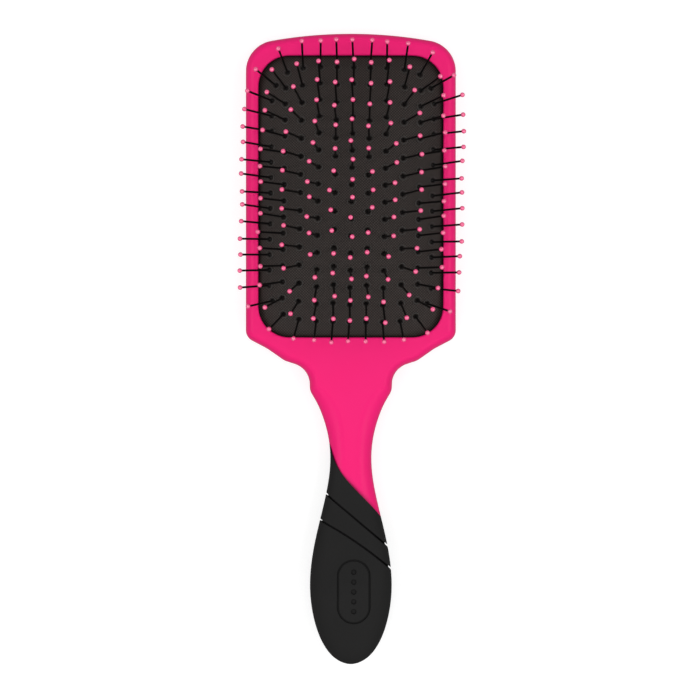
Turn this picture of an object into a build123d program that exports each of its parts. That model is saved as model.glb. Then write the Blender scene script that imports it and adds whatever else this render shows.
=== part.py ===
from build123d import *

import math
import os
import random

# Paddle hair brush: a one-piece moulded paddle with a rubber cushion sunk in its head, 170 ball-tipped
# pins through the cushion, and a rubber grip moulded over the handle.
# Frame: +Z is the way the pins point, +Y runs from the handle to the head's far end, and the origin is
# under the centre of the cushion, on the plane that the back of the brush rests on. Millimetres.

# ---- paddle ----
THICKNESS = 13.5  # back face to front face
HEAD_HALF_WIDTH = 44.2
HEAD_TOP_Y = 68.8
ARCH_RADIUS = 190.0  # the head's far edge is a shallow arch
HEAD_CORNER_RADIUS = 13.0
BUTT_Y = -196.2  # the handle's end
EDGE_ROUND = 3.6  # how far the head's pillowed edge comes in from the outline
NECK_ROUND_SHARE = 0.72  # the same on the neck, as a share of its half width
ROUND_CHANGE_Y = (-76.0, -98.0)  # the edge changes from the head's to the neck's between these
# Shoulder corners, right side: the head's lower corner, a slight bend, the top of the scallop, the
# scallop's hollow and the start of the neck. The radii round them in the same order.
SHOULDER_POINTS = [(44.2, -59.0), (35.2, -63.7), (27.9, -68.8), (17.3, -72.2), (17.3, -81.3)]
SHOULDER_RADII = [5.0, 8.0, 4.0, 9.0, 6.0]
NECK_START = (14.9, -85.4)
HANDLE_POINTS = [(12.0, -91.8), (9.5, -100.8), (8.65, -109.5), (10.8, -126.5), (15.2, -145.4),
                 (17.15, -164.5), (15.3, -178.0), (11.7, -187.5), (6.4, -193.9)]
BLANK_END_Y = -142.0  # the moulded outline runs this far, under the grip
TANG_END_Y = -176.0
TANG_Z = (3.2, 10.9)
TANG_WIDTH_SHARE = 0.66  # of the handle's width
TANG_CHAMFER = 1.2
TANG_SPANS = 8  # between the points that its side passes through

# ---- recess for the cushion ----
OPENING_HALF_X = 38.7
OPENING_HALF_Y = 59.0
OPENING_CORNER = 13.0
OPENING_EDGE_ROUND = 0.7
FLOOR_Z = 3.0
LIP_LOW_Z = 11.6
UNDERCUT_LOW_Z = 9.2
UNDERCUT_DEPTH = 1.3  # the cushion's rim snaps in under the lip
VENT_RADIUS = 1.0
VENT_Y = -30.0

# ---- cushion ----
CUSHION_BASE_Z = 11.3  # height of the domed surface at its edge
CUSHION_RISE = 12.0
CUSHION_WALL = 1.8
DOME_POWER = 2.4
DOME_SQUARENESS = 6.0
DOME_GRID = (17, 23)  # points across and along that the domed surface passes through
DOME_GRID_MARGIN = 1.06
CUSHION_GAP = 0.3
RIM_LOW_Z = 9.5
RIM_WIDTH = 1.6  # the rim's part inside the opening

# ---- pins ----
COLUMN_X = [0.0, 6.9, 13.9, 21.3, 28.2, 33.9]  # distances of the columns from the middle one
EVEN_COLUMN_PINS = 16
ODD_COLUMN_PINS = 15
FIELD_HALF_X = 38.0  # the rounded outline that the columns' ends follow
FIELD_HALF_Y = 53.2
FIELD_SQUARENESS = 5.0
FIELD_TURN_DEG = -1.0  # the punched pattern sits a little askew in the head
FIELD_CENTRE = (0.3, 0.7)
CORNER_PULL = 0.045  # the outermost columns' end pins stand in from their column by this share
CORNER_PULL_POWER = 4  # how fast that share falls towards the middle column
PIN_LENGTH = 20.5  # cushion surface to the middle of the ball
PIN_RADIUS = 0.43
PIN_LEAN_GAIN = 1.07  # the pins lean a little more than the dome's own slope
PIN_LEAN_SCATTER = 0.035
PIN_SEED = 11
PIN_GAP = 0.12  # around a pin in the cushion, and between the cushion and the pin's two flanges
PIN_HOLE_CUT = 7.2  # length of the cutter for a pin's hole
COLLAR_RADIUS = 0.95
COLLAR_HEIGHT = 0.9
FOOT_RADIUS = 1.1
FOOT_HEIGHT = 0.7
BALL_RADIUS = 0.98
BALL_SEAT = 0.78  # the ball's flat seat on the pin's end, below its centre

# ---- grip ----
GRIP_START_Y = -102.0
GRIP_EDGE = [(-8.3, -106.7), (-3.9, -115.9), (3.2, -124.0), (12.7, -134.5)]
GRIP_EDGE_RUN = 12.0  # the edge curve runs on past both sides of the neck by this
GRIP_TOP = [(-102.0, 13.85), (-113.0, 14.0), (-125.0, 14.6), (-145.0, 17.0), (-165.0, 18.6)]  # (y, z)
GRIP_BOTTOM_Z = 0.1
GRIP_END_TOP_Z = 9.4
GRIP_END_POWER = 0.85
SECTION_COUNT = 21  # cross-sections, evenly spaced along the handle's edge
LAST_HALF_WIDTH = 1.0
SECTION_SQUARENESS = (2.8, 2.25)  # of the cross-section, at the neck and at the bulb
SECTION_POINTS = 28
GROOVE_LINES = [[(-9.7, -125.2), (0.4, -133.6), (15.3, -146.4)],
                [(-11.8, -136.1), (0.4, -143.2), (15.9, -155.2)]]
GROOVE_WIDTH = 0.85
GROOVE_DEPTH = 1.0
BADGE_CENTRE = (1.2, -165.0)
BADGE_LENGTH = 27.0
BADGE_WIDTH = 14.0
BADGE_LINE = 0.9  # width of its outline
BADGE_DOTS = 5
BADGE_DOT_RADIUS = 1.15
BADGE_DOT_PITCH = 4.1
BADGE_DEPTH = 0.5

OUTLINE_SAMPLES = 150
EDGE_ANGLES = [-90, -78, -62, -42, -21, 0, 21, 42, 62, 78, 90]
FAR = 30.0  # longer than any cut through the thickness


def smooth_step(t):
    t = min(1.0, max(0.0, t))
    return t * t * (3 - 2 * t)


def bisect(value, target, low=0.0, high=1.0):
    """Where value(t), which falls from t = low to high, reaches target."""
    for _ in range(40):
        middle = (low + high) / 2
        if value(middle) > target:
            low = middle
        else:
            high = middle
    return (low + high) / 2


# ---- the paddle's outline ----
def handle_curve():
    """Right edge of the neck and handle, from under the shoulder to the butt."""
    corner = Vector(*SHOULDER_POINTS[-1])
    start = Vector(*NECK_START)
    ends = [(start - corner).normalized(), (-1, 0)]
    return Spline([NECK_START, *HANDLE_POINTS, (0, BUTT_Y)], tangents=ends, tangent_scalars=[1, 1])


def handle_param(curve, y):
    return bisect(lambda t: (curve @ t).Y, y)


def half_outline():
    """Right half of the paddle's outline, from the middle of the far edge to under the grip."""
    share = (HEAD_HALF_WIDTH - HEAD_CORNER_RADIUS) / (ARCH_RADIUS - HEAD_CORNER_RADIUS)
    arch_turn = math.degrees(math.asin(share))
    arch = JernArc((0, HEAD_TOP_Y), (1, 0), ARCH_RADIUS, -arch_turn)
    corner = JernArc(arch @ 1, arch % 1, HEAD_CORNER_RADIUS, arch_turn - 90)
    shoulder = FilletPolyline([corner @ 1, *SHOULDER_POINTS, NECK_START], radius=SHOULDER_RADII)
    handle = handle_curve()
    return Wire([arch, corner, *shoulder.edges(), handle.trim(0, handle_param(handle, BLANK_END_Y))])


def edge_round(point):
    """How far the pillowed edge comes in from the outline at this point."""
    high, low = ROUND_CHANGE_Y
    share = smooth_step((high - point.Y) / (high - low))
    return EDGE_ROUND * (1 - share) + NECK_ROUND_SHARE * point.X * share


def paddle_blank():
    """The paddle with its pillowed edges: the outline lofted through levels of the thickness."""
    wire = half_outline()
    samples = []
    for k in range(OUTLINE_SAMPLES + 1):
        along = wire % (k / OUTLINE_SAMPLES)
        samples.append((wire @ (k / OUTLINE_SAMPLES), Vector(along.Y, -along.X).normalized()))
    last_along = wire % 1
    levels = []
    for angle in EDGE_ANGLES:
        inward = 1 - math.cos(math.radians(angle))
        z = THICKNESS / 2 * (1 + math.sin(math.radians(angle)))
        points = []
        for point, normal in samples:
            points.append(point + normal * (inward * edge_round(point)) + Vector(0, 0, z))
        points[0] = Vector(0, points[0].Y, z)
        right = Edge.make_spline(points, tangents=[Vector(1, 0, 0), last_along])
        end = Edge.make_line(points[-1], Vector(-points[-1].X, points[-1].Y, z))
        levels.append(Wire([right, end, right.mirror(Plane.YZ)]))
    return Solid.make_loft(levels)


# ---- the recess and the cushion share one planform ----
def planform(margin):
    """The opening's rounded rectangle, grown by the margin."""
    radius = OPENING_CORNER + margin
    return RectangleRounded(2 * (OPENING_HALF_X + margin), 2 * (OPENING_HALF_Y + margin), radius)


def planform_block(margin, low_z, high_z):
    return extrude(Pos(0, 0, low_z) * planform(margin), high_z - low_z)


def grip_region():
    """Everything on the handle's side of the grip's slanting edge."""
    edge = Spline([Vector(*p) for p in GRIP_EDGE])
    first = edge @ 0 - (edge % 0) * GRIP_EDGE_RUN
    last = edge @ 1 + (edge % 1) * GRIP_EDGE_RUN
    far_y = BUTT_Y - FAR
    corners = [last, (last.X + FAR, last.Y), (last.X + FAR, far_y), (-last.X - FAR, far_y),
               (-last.X - FAR, first.Y), first]
    border = Wire([Line(first, edge @ 0), edge, Line(edge @ 1, last), *Polyline(corners).edges()])
    return extrude(Pos(0, 0, -FAR) * make_face(border), 3 * FAR)


def tang():
    """The stiff core that the grip is moulded round."""
    curve = handle_curve()
    start, end = handle_param(curve, GRIP_START_Y), handle_param(curve, TANG_END_Y)
    side = []
    for k in range(TANG_SPANS + 1):
        point = curve @ (start + (end - start) * k / TANG_SPANS)
        side.append(Vector(point.X * TANG_WIDTH_SHARE, point.Y))
    right = Spline(side)
    left = right.mirror(Plane.YZ)
    border = Wire([right, Line(side[-1], left @ 1), left, Line(left @ 0, side[0])])
    low_z, high_z = TANG_Z
    core = extrude(Pos(0, 0, low_z) * make_face(border), high_z - low_z)
    rims = core.faces().filter_by(Axis.Z).edges()
    return chamfer(rims, TANG_CHAMFER)


def make_paddle():
    paddle = paddle_blank() - grip_region() + tang()
    paddle -= planform_block(0, FLOOR_Z, FAR)
    rim_edges = paddle.faces().sort_by(Axis.Z)[-1].inner_wires()[0].edges()
    paddle = fillet(rim_edges, OPENING_EDGE_ROUND)
    paddle -= planform_block(UNDERCUT_DEPTH, UNDERCUT_LOW_Z, LIP_LOW_Z)
    vent = Pos(0, VENT_Y, FLOOR_Z / 2) * Cylinder(VENT_RADIUS, 2 * FLOOR_Z)
    return paddle - vent


# ---- cushion ----
def dome_height(x, y):
    reach = (abs(x / OPENING_HALF_X) ** DOME_SQUARENESS + abs(y / OPENING_HALF_Y) ** DOME_SQUARENESS)
    return CUSHION_BASE_Z + CUSHION_RISE * (1 - reach ** (DOME_POWER / DOME_SQUARENESS))


def dome_slope(x, y):
    """Rise of the dome per millimetre in x and in y."""
    step = 0.05
    slope_x = (dome_height(x + step, y) - dome_height(x - step, y)) / (2 * step)
    slope_y = (dome_height(x, y + step) - dome_height(x, y - step)) / (2 * step)
    return slope_x, slope_y


def dome_face():
    across, along = DOME_GRID
    rows = []
    for i in range(across):
        x = DOME_GRID_MARGIN * OPENING_HALF_X * (2 * i / (across - 1) - 1)
        ys = [DOME_GRID_MARGIN * OPENING_HALF_Y * (2 * j / (along - 1) - 1) for j in range(along)]
        rows.append([Vector(x, y, dome_height(x, y)) for y in ys])
    return Face.make_surface_from_array_of_points(rows, tol=0.01)


def make_cushion(pin_places):
    skin = Part() + Solid.extrude(dome_face(), Vector(0, 0, -CUSHION_WALL))
    skin &= planform_block(-CUSHION_GAP, 0, FAR)
    rim = planform_block(UNDERCUT_DEPTH - CUSHION_GAP, RIM_LOW_Z, CUSHION_BASE_Z)
    rim -= planform_block(-RIM_WIDTH, 0, FAR)
    holes = [place * Cylinder(PIN_RADIUS + PIN_GAP, PIN_HOLE_CUT) for place in pin_places]
    return (skin + rim).cut(*holes)


# ---- pins ----
def column_rows(column):
    """The y of each pin in a column, head end first."""
    count = ODD_COLUMN_PINS if column % 2 else EVEN_COLUMN_PINS
    reach = 1 - (COLUMN_X[abs(column)] / FIELD_HALF_X) ** FIELD_SQUARENESS
    half = FIELD_HALF_Y * reach ** (1 / FIELD_SQUARENESS)
    return [half * (1 - 2 * j / (count - 1)) for j in range(count)]


def pin_place(x, y, scatter):
    """A location on the cushion's surface with Z along the pin."""
    slope_x, slope_y = dome_slope(x, y)
    lean_x = -slope_x * PIN_LEAN_GAIN + scatter.uniform(-PIN_LEAN_SCATTER, PIN_LEAN_SCATTER)
    lean_y = -slope_y * PIN_LEAN_GAIN + scatter.uniform(-PIN_LEAN_SCATTER, PIN_LEAN_SCATTER)
    surface = (x, y, dome_height(x, y))
    return Plane(surface, x_dir=(1, 0, -lean_x), z_dir=(lean_x, lean_y, 1)).location


def ring_side(column, row, count):
    """The ring that a pin belongs to, 1 outermost, and the side of that ring it is on."""
    from_side = len(COLUMN_X) - 1 - abs(column)
    from_end = min(row, count - 1 - row)
    if column == 0 or from_end < from_side:
        side = "head_end" if row < count / 2 else "handle_end"
    else:
        side = "left" if column < 0 else "right"
    return min(from_side, from_end) + 1, side


def pin_groups():
    """Pin locations, keyed by ring and side."""
    scatter = random.Random(PIN_SEED)
    turn = math.radians(FIELD_TURN_DEG)
    groups = {}
    outermost = len(COLUMN_X) - 1
    for column in range(-outermost, outermost + 1):
        rows = column_rows(column)
        for row, y in enumerate(rows):
            x = math.copysign(COLUMN_X[abs(column)], column)
            if row in (0, len(rows) - 1):
                x *= 1 - CORNER_PULL * (abs(column) / outermost) ** CORNER_PULL_POWER
            turned_x = FIELD_CENTRE[0] + x * math.cos(turn) - y * math.sin(turn)
            turned_y = FIELD_CENTRE[1] + x * math.sin(turn) + y * math.cos(turn)
            key = ring_side(column, row, len(rows))
            groups.setdefault(key, []).append(pin_place(turned_x, turned_y, scatter))
    return groups


def make_pin():
    """One pin at its cushion: foot, shank through the cushion, collar, shank up to the ball."""
    foot_top = -CUSHION_WALL - PIN_GAP
    collar_top = PIN_GAP + COLLAR_HEIGHT
    shank_top = PIN_LENGTH - BALL_SEAT
    profile = Polyline([
        (0, foot_top - FOOT_HEIGHT), (FOOT_RADIUS, foot_top - FOOT_HEIGHT), (FOOT_RADIUS, foot_top),
        (PIN_RADIUS, foot_top), (PIN_RADIUS, PIN_GAP), (COLLAR_RADIUS, PIN_GAP),
        (PIN_RADIUS, collar_top), (PIN_RADIUS, shank_top), (0, shank_top)], close=True)
    return revolve(Plane.XZ * make_face(profile), Axis.Z)


def make_ball():
    """A pin's ball tip, flat where it sits on the pin."""
    seat = Pos(0, 0, -BALL_SEAT - BALL_RADIUS) * Box(2 * BALL_RADIUS, 2 * BALL_RADIUS, 2 * BALL_RADIUS)
    return Pos(0, 0, PIN_LENGTH) * (Sphere(BALL_RADIUS) - seat)


def placed_copies(piece, places):
    return Compound(children=[place * piece for place in places])


# ---- grip ----
def spline_height(points, y):
    """Height at y on the smooth line through (y, z) points that run towards the butt."""
    curve = Spline([Vector(a, b) for a, b in points])
    return (curve @ bisect(lambda t: (curve @ t).X, y)).Y


def grip_section(curve, t, inset):
    """The grip's cross-section at t on the handle's edge, drawn in by the inset on every side."""
    half_width, y = (curve @ t).X, (curve @ t).Y
    bulb_y, bulb_top = GRIP_TOP[-1]
    if y >= bulb_y:
        top, bottom = spline_height(GRIP_TOP, y), GRIP_BOTTOM_Z
    else:
        bulb_width = (curve @ handle_param(curve, bulb_y)).X
        share = (half_width / bulb_width) ** GRIP_END_POWER
        top = GRIP_END_TOP_Z + (bulb_top - GRIP_END_TOP_Z) * share
        bottom = GRIP_END_TOP_Z - (GRIP_END_TOP_Z - GRIP_BOTTOM_Z) * share
    along = min(1.0, (GRIP_START_Y - y) / (GRIP_START_Y - bulb_y))
    neck_power, bulb_power = SECTION_SQUARENESS
    power = 2 / (neck_power + (bulb_power - neck_power) * smooth_step(along))
    half_height = (top - bottom) / 2 - inset
    points = []
    for k in range(SECTION_POINTS):
        turn = 2 * math.pi * k / SECTION_POINTS
        across, up = math.cos(turn), math.sin(turn)
        points.append(Vector((half_width - inset) * math.copysign(abs(across) ** power, across), y,
                             (top + bottom) / 2 + half_height * math.copysign(abs(up) ** power, up)))
    return Wire([Edge.make_spline(points, periodic=True)])


def grip_body(inset):
    curve = handle_curve()
    bulb = handle_param(curve, GRIP_TOP[-1][0])
    start, end = handle_param(curve, GRIP_START_Y), bisect(lambda t: (curve @ t).X, LAST_HALF_WIDTH, bulb)
    stations = [start + (end - start) * k / (SECTION_COUNT - 1) for k in range(SECTION_COUNT)]
    inside = [t for t in stations if (curve @ t).X > inset + LAST_HALF_WIDTH / 2]
    return Part() + Solid.make_loft([grip_section(curve, t, inset) for t in inside])


def groove_slab(line):
    """A wall through the whole thickness along a groove's line, run on past both sides."""
    middle = ThreePointArc(*line)
    first = middle @ 0 - (middle % 0) * GRIP_EDGE_RUN
    last = middle @ 1 + (middle % 1) * GRIP_EDGE_RUN
    path = Wire([Line(first, middle @ 0), middle, Line(middle @ 1, last)])
    return extrude(Pos(0, 0, -FAR) * make_face(path.offset_2d(GROOVE_WIDTH / 2, side=Side.BOTH)), 3 * FAR)


def badge_prism():
    """A plain long ring with a row of dots in it, for the sunk badge on the bulb."""
    ring = SlotOverall(BADGE_LENGTH, BADGE_WIDTH)
    ring -= SlotOverall(BADGE_LENGTH - 2 * BADGE_LINE, BADGE_WIDTH - 2 * BADGE_LINE)
    for k in range(BADGE_DOTS):
        ring += Pos((k - (BADGE_DOTS - 1) / 2) * BADGE_DOT_PITCH, 0) * Circle(BADGE_DOT_RADIUS)
    return extrude(Pos(*BADGE_CENTRE, THICKNESS) * Rot(0, 0, 90) * ring, FAR)


def make_grip():
    grip = grip_body(0) & grip_region()
    for line in GROOVE_LINES:
        grip -= groove_slab(line) - grip_body(GROOVE_DEPTH)
    grip -= badge_prism() - grip_body(BADGE_DEPTH)
    return grip - tang()


def write_part(name, shape):
    export_step(shape, f"parts/{name}.step")


def main():
    os.makedirs("parts", exist_ok=True)
    groups = pin_groups()
    write_part("paddle", make_paddle())
    write_part("handle_grip", make_grip())
    write_part("cushion", make_cushion([place for places in groups.values() for place in places]))
    pin, ball = make_pin(), make_ball()
    for (ring, side), places in sorted(groups.items()):
        write_part(f"pins_ring_{ring}_{side}", placed_copies(pin, places))
        write_part(f"tips_ring_{ring}_{side}", placed_copies(ball, places))


if __name__ == "__main__":
    main()
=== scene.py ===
import math

import bpy
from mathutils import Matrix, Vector, kdtree


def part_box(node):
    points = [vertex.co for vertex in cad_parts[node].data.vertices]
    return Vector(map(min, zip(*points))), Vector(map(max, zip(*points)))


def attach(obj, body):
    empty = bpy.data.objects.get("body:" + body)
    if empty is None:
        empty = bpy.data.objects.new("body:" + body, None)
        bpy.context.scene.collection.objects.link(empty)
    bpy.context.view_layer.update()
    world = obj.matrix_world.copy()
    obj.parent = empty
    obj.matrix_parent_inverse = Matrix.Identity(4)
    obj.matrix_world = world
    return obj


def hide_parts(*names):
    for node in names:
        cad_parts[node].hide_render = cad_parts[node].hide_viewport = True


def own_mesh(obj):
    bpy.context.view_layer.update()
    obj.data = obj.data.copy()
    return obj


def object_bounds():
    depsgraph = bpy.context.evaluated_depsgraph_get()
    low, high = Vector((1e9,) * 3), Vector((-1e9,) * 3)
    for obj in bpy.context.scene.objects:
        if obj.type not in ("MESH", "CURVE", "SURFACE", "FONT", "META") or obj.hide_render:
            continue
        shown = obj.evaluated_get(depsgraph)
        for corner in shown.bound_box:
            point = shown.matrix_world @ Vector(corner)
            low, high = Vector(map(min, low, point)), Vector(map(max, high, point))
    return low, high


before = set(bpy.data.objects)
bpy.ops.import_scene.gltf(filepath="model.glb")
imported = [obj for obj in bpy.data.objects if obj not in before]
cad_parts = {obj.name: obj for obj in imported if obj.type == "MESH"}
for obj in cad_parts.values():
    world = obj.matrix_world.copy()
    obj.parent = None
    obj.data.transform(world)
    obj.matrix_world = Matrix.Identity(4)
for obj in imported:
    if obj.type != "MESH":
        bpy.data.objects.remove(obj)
cad_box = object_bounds()

MM = 0.001  # lengths are in metres

# ---- camera: straight above the middle of the brush ----
CAMERA_DISTANCE = 0.95
VIEW_WIDTH = 0.2949  # width of the picture at the height of the paddle's widest line
VIEW_CENTRE = (-0.00035, -0.0643)
WIDEST_Z = 0.00675  # height of that line
SENSOR_WIDTH = 36.0

# ---- light ----
SKY_STRENGTHS = {-0.35: 0.30, 0.0: 0.60, 0.5: 0.45, 0.98: 0.28}  # by the sine of the angle of height
SOFTBOX_POWERS = {5.0: 4.6, 90.0: 0.9, 175.0: 4.2, 240.0: 2.3, 300.0: 2.6}  # watts, by the azimuth
SOFTBOX_SIZE = 0.9
SOFTBOX_DISTANCE = 1.25
SOFTBOX_ELEVATION = 46.0
OVERHEAD_POWER = 1.3
OVERHEAD_SIZE = 0.5
OVERHEAD_HEIGHT = 1.25

# ---- stage ----
FLOOR_GLOW = 0.68
FLOOR_SIZE = 12.0
FLOOR_GAP = 0.2 * MM  # the floor lies this far under the brush's flat back
BACKDROP_RADIUS = 9.0
BACKDROP_GLOW = 0.85  # close to the far floor's brightness, so that the horizon hardly shows
WHITE = (1.0, 1.0, 1.0, 1.0)
BLACK = (0.0, 0.0, 0.0, 1.0)

# ---- colours: a pair is the two ends of a finish's slow mottling ----
PINK = ((0.90, 0.009, 0.166), (0.88, 0.011, 0.180))
# painted shade for the pink where the lip and the channel round the cushion close it in
PINK_PAINTED_SHADE = (0.10, 0.001, 0.020)
GRIP_BLACK = ((0.0088, 0.0088, 0.0088), (0.0120, 0.0116, 0.0114))
# painted shade for the grip's grooves and notches
GRIP_PAINTED_SHADE = (0.0005, 0.0005, 0.0005)
CUSHION_BROWN = ((0.046, 0.034, 0.029), (0.067, 0.050, 0.043))
# painted shade for the cross-hatch's grooves
HATCH_GROOVE_PAINTED_SHADE = (0.005, 0.004, 0.004)
RING_BROWN = ((0.020, 0.017, 0.015), (0.030, 0.025, 0.023))
PIN_BLACK = ((0.002, 0.002, 0.002), (0.005, 0.004, 0.004))
TIP_PINK = ((0.91, 0.055, 0.230), (0.93, 0.075, 0.260))
FLOOR_GREY = ((0.42, 0.42, 0.42), (0.44, 0.44, 0.44))
# ambient occlusion samples for the painted crevice shade
PAINTED_SHADE_SAMPLES = 8

# ---- pins, as the frame's meshes have them ----
WELD = 0.002 * MM  # corners that agree to this are one corner
PIN_END_DEPTH = 0.8 * MM  # a pin's end is what lies within this of its top
FOOT_FROM_END = 21.0 * MM  # its foot is what lies farther than this from its end
PIN_END_FROM_SURFACE = 19.72 * MM  # along the pin, from the middle of its end to the rubber

# ---- cushion ----
RIM_OVERHANG = 1.75 * MM  # the rim's reach outside the part that shows
RIM_INSET = 0.75 * MM  # the showing part stops this far inside the opening
RIM_BOTTOM_Z = 9.5 * MM
RIM_TOP_Z = 10.2 * MM  # low enough that the channel round the cushion looks dark
CUSHION_BASE_Z = 11.3 * MM
CUSHION_RISE = 12.0 * MM
CUSHION_WALL = 1.8 * MM
CUSHION_CORNER = 12.7 * MM
DOME_POWER = 2.4  # how flat the dome is on top
DOME_SQUARENESS = 6.0  # how square it is in plan
GRID_STEP = 0.45 * MM
DIMPLE_RADIUS = 2.6 * MM  # a dimple round each pin
DIMPLE_REACH = 3 * DIMPLE_RADIUS  # it has faded out here
DIMPLE_DEPTH = 0.20 * MM
HATCH_PITCH = 1.16 * MM

# ---- the raised ring in the rubber round each pin ----
RING_RADIUS = 1.55 * MM
RING_BEAD = 0.30 * MM  # radius of the ring's own round section
RING_SUNK = 0.20 * MM  # its middle lies this far under the surface
RING_STEPS = (28, 10)  # corners round the pin and round the bead


# ---- node helpers ----
class Nodes:
    """A material under construction: makes nodes and links them by keyword."""

    def __init__(self, name):
        self.material = bpy.data.materials.new(name)
        self.material.use_nodes = True
        self.tree = self.material.node_tree
        self.shader = self.tree.nodes["Principled BSDF"]

    def link(self, source, target):
        self.tree.links.new(source, target)

    def put(self, node, key, value):
        socket = node.inputs[key]
        if isinstance(value, bpy.types.NodeSocket):
            self.link(value, socket)
        else:
            socket.default_value = value

    def node(self, kind, settings=None, **inputs):
        node = self.tree.nodes.new(kind)
        for key, value in (settings or {}).items():
            setattr(node, key, value)
        for key, value in inputs.items():
            self.put(node, key.replace("_", " "), value)
        return node

    def math(self, operation, first, second=0.0):
        node = self.node("ShaderNodeMath", {"operation": operation})
        self.put(node, 0, first)
        self.put(node, 1, second)
        return node.outputs[0]

    def position(self):
        return self.node("ShaderNodeTexCoord").outputs["Object"]

    def noise(self, scale, detail=3.0, roughness=0.5):
        node = self.node("ShaderNodeTexNoise", Vector=self.position(), Scale=scale, Detail=detail,
                         Roughness=roughness)
        return node.outputs["Fac"]

    def remap(self, value, low, high):
        """A 0 to 1 value spread over low to high."""
        node = self.node("ShaderNodeMapRange", Value=value)
        self.put(node, "To Min", low)
        self.put(node, "To Max", high)
        return node.outputs["Result"]

    def blend(self, factor, first, second):
        node = self.node("ShaderNodeMix", {"data_type": "RGBA"})
        self.put(node, "Factor", factor)
        self.put(node, 6, (*first, 1.0) if isinstance(first, tuple) else first)
        self.put(node, 7, (*second, 1.0) if isinstance(second, tuple) else second)
        return node.outputs[2]

    def painted_crevice_shade(self, colour, dark, reach, sharpness):
        """Painted shade: the colour, turned towards dark where something stands close by."""
        node = self.node("ShaderNodeAmbientOcclusion", {"samples": PAINTED_SHADE_SAMPLES}, Distance=reach)
        return self.blend(self.math("POWER", node.outputs["AO"], sharpness), dark, colour)

    def bump(self, height, strength, distance, normal=None):
        node = self.node("ShaderNodeBump", Height=height, Strength=strength, Distance=distance)
        if normal is not None:
            self.put(node, "Normal", normal)
        return node.outputs["Normal"]

    def finish(self, **inputs):
        for key, value in inputs.items():
            self.put(self.shader, key.replace("_", " "), value)
        return self.material


# ---- materials ----
def pink_plastic():
    """Satin plastic with a fine grain and a faint orange peel, its colour darkened by painted shade in
    crevices.
    """
    n = Nodes("pink_plastic")
    colour = n.blend(n.noise(scale=38.0, detail=2.0), *PINK)
    # painted shade: the pink turns dark in crevices, standing in for the shadow in the channel
    colour = n.painted_crevice_shade(colour, PINK_PAINTED_SHADE, reach=2.2 * MM, sharpness=1.6)
    normal = n.bump(n.noise(scale=2600.0, detail=2.0), strength=0.10, distance=0.06 * MM)
    normal = n.bump(n.noise(scale=260.0, detail=2.0), strength=0.10, distance=0.25 * MM, normal=normal)
    rough = n.remap(n.noise(scale=90.0, detail=4.0), low=0.34, high=0.44)
    n.shader.inputs["Specular IOR Level"].default_value = 0.15
    return n.finish(Base_Color=colour, Roughness=rough, Normal=normal)


def black_rubber():
    """Matt soft-touch rubber, stippled by its mould and uneven from handling, its colour darkened by
    painted shade in its grooves.
    """
    n = Nodes("grip_rubber")
    colour = n.blend(n.noise(scale=55.0, detail=5.0), *GRIP_BLACK)
    # painted shade: the rubber turns near black in its grooves
    colour = n.painted_crevice_shade(colour, GRIP_PAINTED_SHADE, reach=2.0 * MM, sharpness=1.8)
    stipple = n.noise(scale=1900.0, detail=3.0, roughness=0.6)
    normal = n.bump(stipple, strength=0.30, distance=0.08 * MM)
    normal = n.bump(n.noise(scale=120.0, detail=4.0), strength=0.12, distance=0.3 * MM, normal=normal)
    rough = n.remap(n.noise(scale=75.0, detail=5.0), low=0.56, high=0.72)
    n.shader.inputs["Specular IOR Level"].default_value = 0.14
    return n.finish(Base_Color=colour, Roughness=rough, Normal=normal)


def cushion_rubber():
    """Rubber with a fine diagonal cross-hatch moulded in, its grooves darkened by painted shade."""
    n = Nodes("cushion_rubber")
    split = n.node("ShaderNodeSeparateXYZ", Vector=n.position())
    x, y = split.outputs["X"], split.outputs["Y"]
    wave = math.pi / HATCH_PITCH
    slants = []
    for operation in ("ADD", "SUBTRACT"):
        along = n.math("MULTIPLY", n.math(operation, x, y), wave)
        slants.append(n.math("ABSOLUTE", n.math("SINE", along)))
    hatch = n.math("MULTIPLY", slants[0], slants[1])
    cloud = n.noise(scale=30.0, detail=5.0)
    # painted shade: the hatch's grooves get a near-black colour, the lands the rubber's brown
    colour = n.blend(hatch, HATCH_GROOVE_PAINTED_SHADE, n.blend(cloud, *CUSHION_BROWN))
    normal = n.bump(hatch, strength=0.80, distance=0.16 * MM)
    normal = n.bump(n.noise(scale=1500.0, detail=2.0), strength=0.15, distance=0.06 * MM, normal=normal)
    rough = n.remap(cloud, low=0.50, high=0.64)
    n.shader.inputs["Specular IOR Level"].default_value = 0.24
    return n.finish(Base_Color=colour, Roughness=rough, Normal=normal)


def ring_rubber():
    """The same rubber, smooth and a little polished by the mould."""
    n = Nodes("ring_rubber")
    colour = n.blend(n.noise(scale=300.0, detail=3.0), *RING_BROWN)
    normal = n.bump(n.noise(scale=1500.0, detail=2.0), strength=0.15, distance=0.06 * MM)
    rough = n.remap(n.noise(scale=420.0, detail=3.0), low=0.34, high=0.44)
    n.shader.inputs["Specular IOR Level"].default_value = 0.4
    return n.finish(Base_Color=colour, Roughness=rough, Normal=normal)


def black_nylon():
    """The pins' nylon."""
    n = Nodes("pin_nylon")
    colour = n.blend(n.noise(scale=300.0, detail=3.0), *PIN_BLACK)
    rough = n.remap(n.noise(scale=420.0, detail=3.0), low=0.28, high=0.42)
    normal = n.bump(n.noise(scale=900.0, detail=2.0), strength=0.12, distance=0.05 * MM)
    n.shader.inputs["Specular IOR Level"].default_value = 0.18
    return n.finish(Base_Color=colour, Roughness=rough, Normal=normal)


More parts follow.
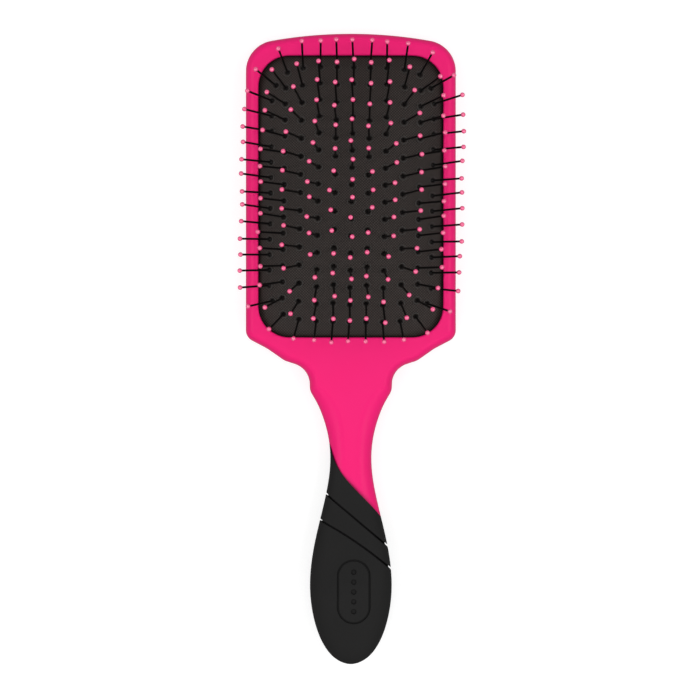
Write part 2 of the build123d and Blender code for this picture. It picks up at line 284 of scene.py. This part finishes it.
def pink_tips():
    """The glossy dip on the pins' ends."""
    n = Nodes("tip_gloss")
    colour = n.blend(n.noise(scale=240.0, detail=3.0), *TIP_PINK)
    rough = n.remap(n.noise(scale=700.0, detail=2.0), low=0.18, high=0.28)
    normal = n.bump(n.noise(scale=650.0, detail=2.0), strength=0.08, distance=0.06 * MM)
    n.shader.inputs["Specular IOR Level"].default_value = 1.0
    n.shader.inputs["Coat Weight"].default_value = 1.0
    n.shader.inputs["Coat IOR"].default_value = 1.7
    n.shader.inputs["Coat Roughness"].default_value = 0.14
    return n.finish(Base_Color=colour, Roughness=rough, Normal=normal)


def pale_floor():
    n = Nodes("floor")
    colour = n.blend(n.noise(scale=6.0, detail=2.0), *FLOOR_GREY)
    return n.finish(Base_Color=colour, Roughness=0.9, Specular_IOR_Level=0.0,
                    Emission_Color=WHITE, Emission_Strength=FLOOR_GLOW)


def white_backdrop():
    n = Nodes("backdrop")
    return n.finish(Base_Color=BLACK, Specular_IOR_Level=0.0,
                    Emission_Color=WHITE, Emission_Strength=BACKDROP_GLOW)


def paint(piece, material):
    piece.data.materials.clear()
    piece.data.materials.append(material)


# ---- pins, read from the frame ----
def islands(mesh):
    """The mesh's separate solids, each as a list of its corners' positions."""
    first_at = {}
    same = []
    for k, vertex in enumerate(mesh.vertices):
        place = tuple(round(c / WELD) for c in vertex.co)
        same.append(first_at.setdefault(place, k))
    parent = list(range(len(mesh.vertices)))

    def root(k):
        while parent[k] != k:
            parent[k] = parent[parent[k]]
            k = parent[k]
        return k

    for edge in mesh.edges:
        parent[root(same[edge.vertices[0]])] = root(same[edge.vertices[1]])
    groups = {}
    for k in sorted(set(same)):
        groups.setdefault(root(k), []).append(mesh.vertices[k].co.copy())
    return list(groups.values())


def mean(points):
    return sum(points, Vector()) / len(points)


def pin_bases():
    """Where each pin leaves the cushion, and the way it points."""
    bases = []
    for name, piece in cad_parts.items():
        if not name.startswith("pins_"):
            continue
        for points in islands(piece.data):
            top = max(p.z for p in points)
            end = mean([p for p in points if p.z > top - PIN_END_DEPTH])
            foot = mean([p for p in points if (p - end).length > FOOT_FROM_END])
            along = (end - foot).normalized()
            bases.append((end - along * PIN_END_FROM_SURFACE, along))
    return bases


# ---- cushion ----
def rubber_piece(name, vertices, faces, material):
    """A smooth mesh that rides on the brush."""
    mesh = bpy.data.meshes.new(name)
    mesh.from_pydata(vertices, [], faces)
    mesh.update()
    for polygon in mesh.polygons:
        polygon.use_smooth = True
    piece = bpy.data.objects.new(name, mesh)
    bpy.context.collection.objects.link(piece)
    paint(piece, material)
    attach(piece, "brush")
    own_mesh(piece)
    return piece


def steps(half, corner):
    """Grid lines from -half to half, with one at each end of the rounded corners."""
    flat = half - corner
    corner_count = round(corner / GRID_STEP)
    outer = [flat + corner * k / corner_count for k in range(1, corner_count + 1)]
    flat_count = round(2 * flat / GRID_STEP)
    inner = [-flat + 2 * flat * k / flat_count for k in range(flat_count + 1)]
    return [-v for v in reversed(outer)] + inner + outer


def rounded(x, y, half_x, half_y, corner, grow=0.0):
    """A point of the square grid moved into the rounded rectangle, grown by grow."""
    flat_x, flat_y = half_x - corner, half_y - corner
    u = max(0.0, abs(x) - flat_x) / corner
    v = max(0.0, abs(y) - flat_y) / corner
    reach = corner + grow
    out_x = min(abs(x), flat_x) + reach * u * math.sqrt(1 - v * v / 2)
    out_y = min(abs(y), flat_y) + reach * v * math.sqrt(1 - u * u / 2)
    return math.copysign(out_x, x), math.copysign(out_y, y)


def dome(x, y, open_half):
    """Height of the cushion's top over a point of the opening."""
    reach = abs(x / open_half[0]) ** DOME_SQUARENESS + abs(y / open_half[1]) ** DOME_SQUARENESS
    return CUSHION_BASE_Z + CUSHION_RISE * (1 - reach ** (DOME_POWER / DOME_SQUARENESS))


def plan_tree(bases):
    """The pins' bases, arranged for finding those near a point in plan."""
    tree = kdtree.KDTree(len(bases))
    for k, (base, _) in enumerate(bases):
        tree.insert((base.x, base.y, 0.0), k)
    tree.balance()
    return tree


def dimple(x, y, tree):
    """How far the pins nearby draw the rubber in at this point, as a negative height."""
    lift = 0.0
    for _, _, away in tree.find_range((x, y, 0.0), DIMPLE_REACH):
        lift -= DIMPLE_DEPTH * math.exp(-(away / DIMPLE_RADIUS) ** 2)
    return lift


def sheet_faces(columns, rows, under_first):
    """Faces of the top sheet, and of the one under it, whose corners start at under_first."""
    faces = []
    for j in range(rows - 1):
        for i in range(columns - 1):
            a = j * columns + i
            quad = (a, a + 1, a + 1 + columns, a + columns)
            faces.append(quad)
            faces.append(tuple(under_first + k for k in reversed(quad)))
    return faces


def sheet_border(columns, rows):
    """The column and row of each corner on a sheet's border, going round it."""
    border = [(i, 0) for i in range(columns - 1)]
    border += [(columns - 1, j) for j in range(rows - 1)]
    border += [(i, rows - 1) for i in range(columns - 1, 0, -1)]
    border += [(0, j) for j in range(rows - 1, 0, -1)]
    return border


def band_faces(loops):
    """Faces from each loop of corners to the next."""
    faces = []
    for upper, lower in zip(loops, loops[1:]):
        for k in range(len(upper)):
            after = (k + 1) % len(upper)
            faces.append((upper[k], lower[k], lower[after], upper[after]))
    return faces


def build_cushion(bases):
    """Two domed sheets of rubber, joined round their border by a flat rim."""
    _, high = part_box("cushion")
    half_x, half_y = high[0] - RIM_OVERHANG, high[1] - RIM_OVERHANG
    open_half = (half_x + RIM_INSET, half_y + RIM_INSET)
    tree = plan_tree(bases)
    xs, ys = steps(half_x, CUSHION_CORNER), steps(half_y, CUSHION_CORNER)
    columns, rows = len(xs), len(ys)
    vertices = []
    for under in (False, True):
        for gy in ys:
            for gx in xs:
                x, y = rounded(gx, gy, half_x, half_y, CUSHION_CORNER)
                z = dome(x, y, open_half)
                vertices.append((x, y, z - CUSHION_WALL if under else z + dimple(x, y, tree)))
    border = sheet_border(columns, rows)
    under_first = columns * rows
    loops = [[j * columns + i for i, j in border]]
    for z in (RIM_TOP_Z, RIM_BOTTOM_Z):
        loops.append([len(vertices) + k for k in range(len(border))])
        for i, j in border:
            x, y = rounded(xs[i], ys[j], half_x, half_y, CUSHION_CORNER, RIM_OVERHANG)
            vertices.append((x, y, z))
    loops.append([under_first + j * columns + i for i, j in border])
    faces = sheet_faces(columns, rows, under_first) + band_faces(loops)
    piece = rubber_piece("rubber_cushion", vertices, faces, cushion_rubber())
    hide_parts("cushion")


def build_pin_rings(bases):
    """The raised ring moulded in the rubber round each pin."""
    around, bead = RING_STEPS
    vertices, faces = [], []
    for base, along in bases:
        first = len(vertices)
        across = along.orthogonal().normalized()
        third = along.cross(across)
        centre = base - along * RING_SUNK
        for i in range(around):
            turn = 2 * math.pi * i / around
            outward = across * math.cos(turn) + third * math.sin(turn)
            for j in range(bead):
                roll = 2 * math.pi * j / bead
                reach = RING_RADIUS + RING_BEAD * math.cos(roll)
                vertices.append(centre + outward * reach + along * (RING_BEAD * math.sin(roll)))
                here, after = i * bead, (i + 1) % around * bead
                up = (j + 1) % bead
                faces.append((first + here + j, first + after + j, first + after + up, first + here + up))
    rubber_piece("pin_rings", vertices, faces, ring_rubber())


# ---- the CAD nodes that stay get their finishes ----
def paint_nodes():
    finishes = {
        "paddle": pink_plastic(),
        "handle_grip": black_rubber(),
        "pins": black_nylon(),
        "tips": pink_tips(),
    }
    for name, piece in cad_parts.items():
        if name == "cushion":
            continue
        key = name.split("_")[0] if name.startswith(("pins_", "tips_")) else name
        paint(piece, finishes[key])


# ---- stage ----
def set_stage(piece, material):
    """A stage piece that the camera sees, and that throws no light on the brush."""
    paint(piece, material)
    piece.visible_diffuse = False
    piece.visible_glossy = False
    piece.visible_transmission = False


def build_floor():
    low, _ = cad_box
    place = (*VIEW_CENTRE, low[2] - FLOOR_GAP)
    bpy.ops.mesh.primitive_plane_add(size=FLOOR_SIZE, location=place)
    floor = bpy.context.object
    floor.name = "floor"
    set_stage(floor, pale_floor())


def build_backdrop():
    bpy.ops.mesh.primitive_uv_sphere_add(radius=BACKDROP_RADIUS, location=(*VIEW_CENTRE, 0))
    backdrop = bpy.context.object
    backdrop.name = "backdrop"
    backdrop.visible_shadow = False
    set_stage(backdrop, white_backdrop())


def area_light(name, location, target, size, power):
    light = bpy.data.lights.new(name, "AREA")
    light.shape = "DISK"
    light.size = size
    light.energy = power
    lamp = bpy.data.objects.new(name, light)
    lamp.location = location
    lamp.rotation_euler = (Vector(target) - Vector(location)).to_track_quat("-Z", "Y").to_euler()
    bpy.context.collection.objects.link(lamp)


def build_sky():
    """A sky whose brightness depends only on the height in it."""
    world = bpy.data.worlds.new("sky")
    world.use_nodes = True
    tree = world.node_tree
    direction = tree.nodes.new("ShaderNodeTexCoord").outputs["Generated"]
    split = tree.nodes.new("ShaderNodeSeparateXYZ")
    tree.links.new(direction, split.inputs["Vector"])
    height = tree.nodes.new("ShaderNodeMapRange")
    tree.links.new(split.outputs["Z"], height.inputs["Value"])
    height.inputs["From Min"].default_value = -1.0
    ramp = tree.nodes.new("ShaderNodeValToRGB")
    tree.links.new(height.outputs["Result"], ramp.inputs["Fac"])
    stops = ramp.color_ramp.elements
    for sine, strength in SKY_STRENGTHS.items():
        stops.new((sine + 1) / 2).color = (strength, strength, strength, 1.0)
    stops.remove(stops[0])
    stops.remove(stops[-1])
    tree.links.new(ramp.outputs["Color"], tree.nodes["Background"].inputs["Color"])
    bpy.context.scene.world = world


def build_lamps():
    """Softboxes round the brush, and one lamp over it."""
    target = (*VIEW_CENTRE, 0)
    up = math.radians(SOFTBOX_ELEVATION)
    for azimuth, power in SOFTBOX_POWERS.items():
        turn = math.radians(azimuth)
        place = (VIEW_CENTRE[0] + SOFTBOX_DISTANCE * math.cos(up) * math.cos(turn),
                 VIEW_CENTRE[1] + SOFTBOX_DISTANCE * math.cos(up) * math.sin(turn),
                 SOFTBOX_DISTANCE * math.sin(up))
        area_light(f"softbox_{azimuth:.0f}", place, target, SOFTBOX_SIZE, power)
    area_light("overhead", (*VIEW_CENTRE, OVERHEAD_HEIGHT), target, OVERHEAD_SIZE, OVERHEAD_POWER)


def build_camera():
    data = bpy.data.cameras.new("camera")
    data.sensor_width = SENSOR_WIDTH
    data.lens = SENSOR_WIDTH * CAMERA_DISTANCE / VIEW_WIDTH
    data.dof.use_dof = False
    camera = bpy.data.objects.new("camera", data)
    camera.location = (*VIEW_CENTRE, WIDEST_Z + CAMERA_DISTANCE)
    bpy.context.collection.objects.link(camera)
    bpy.context.scene.camera = camera


build_camera()
pins = pin_bases()
build_cushion(pins)
build_pin_rings(pins)
paint_nodes()
build_floor()
build_backdrop()
build_sky()
build_lamps()
bpy.context.scene.view_settings.view_transform = "Standard"
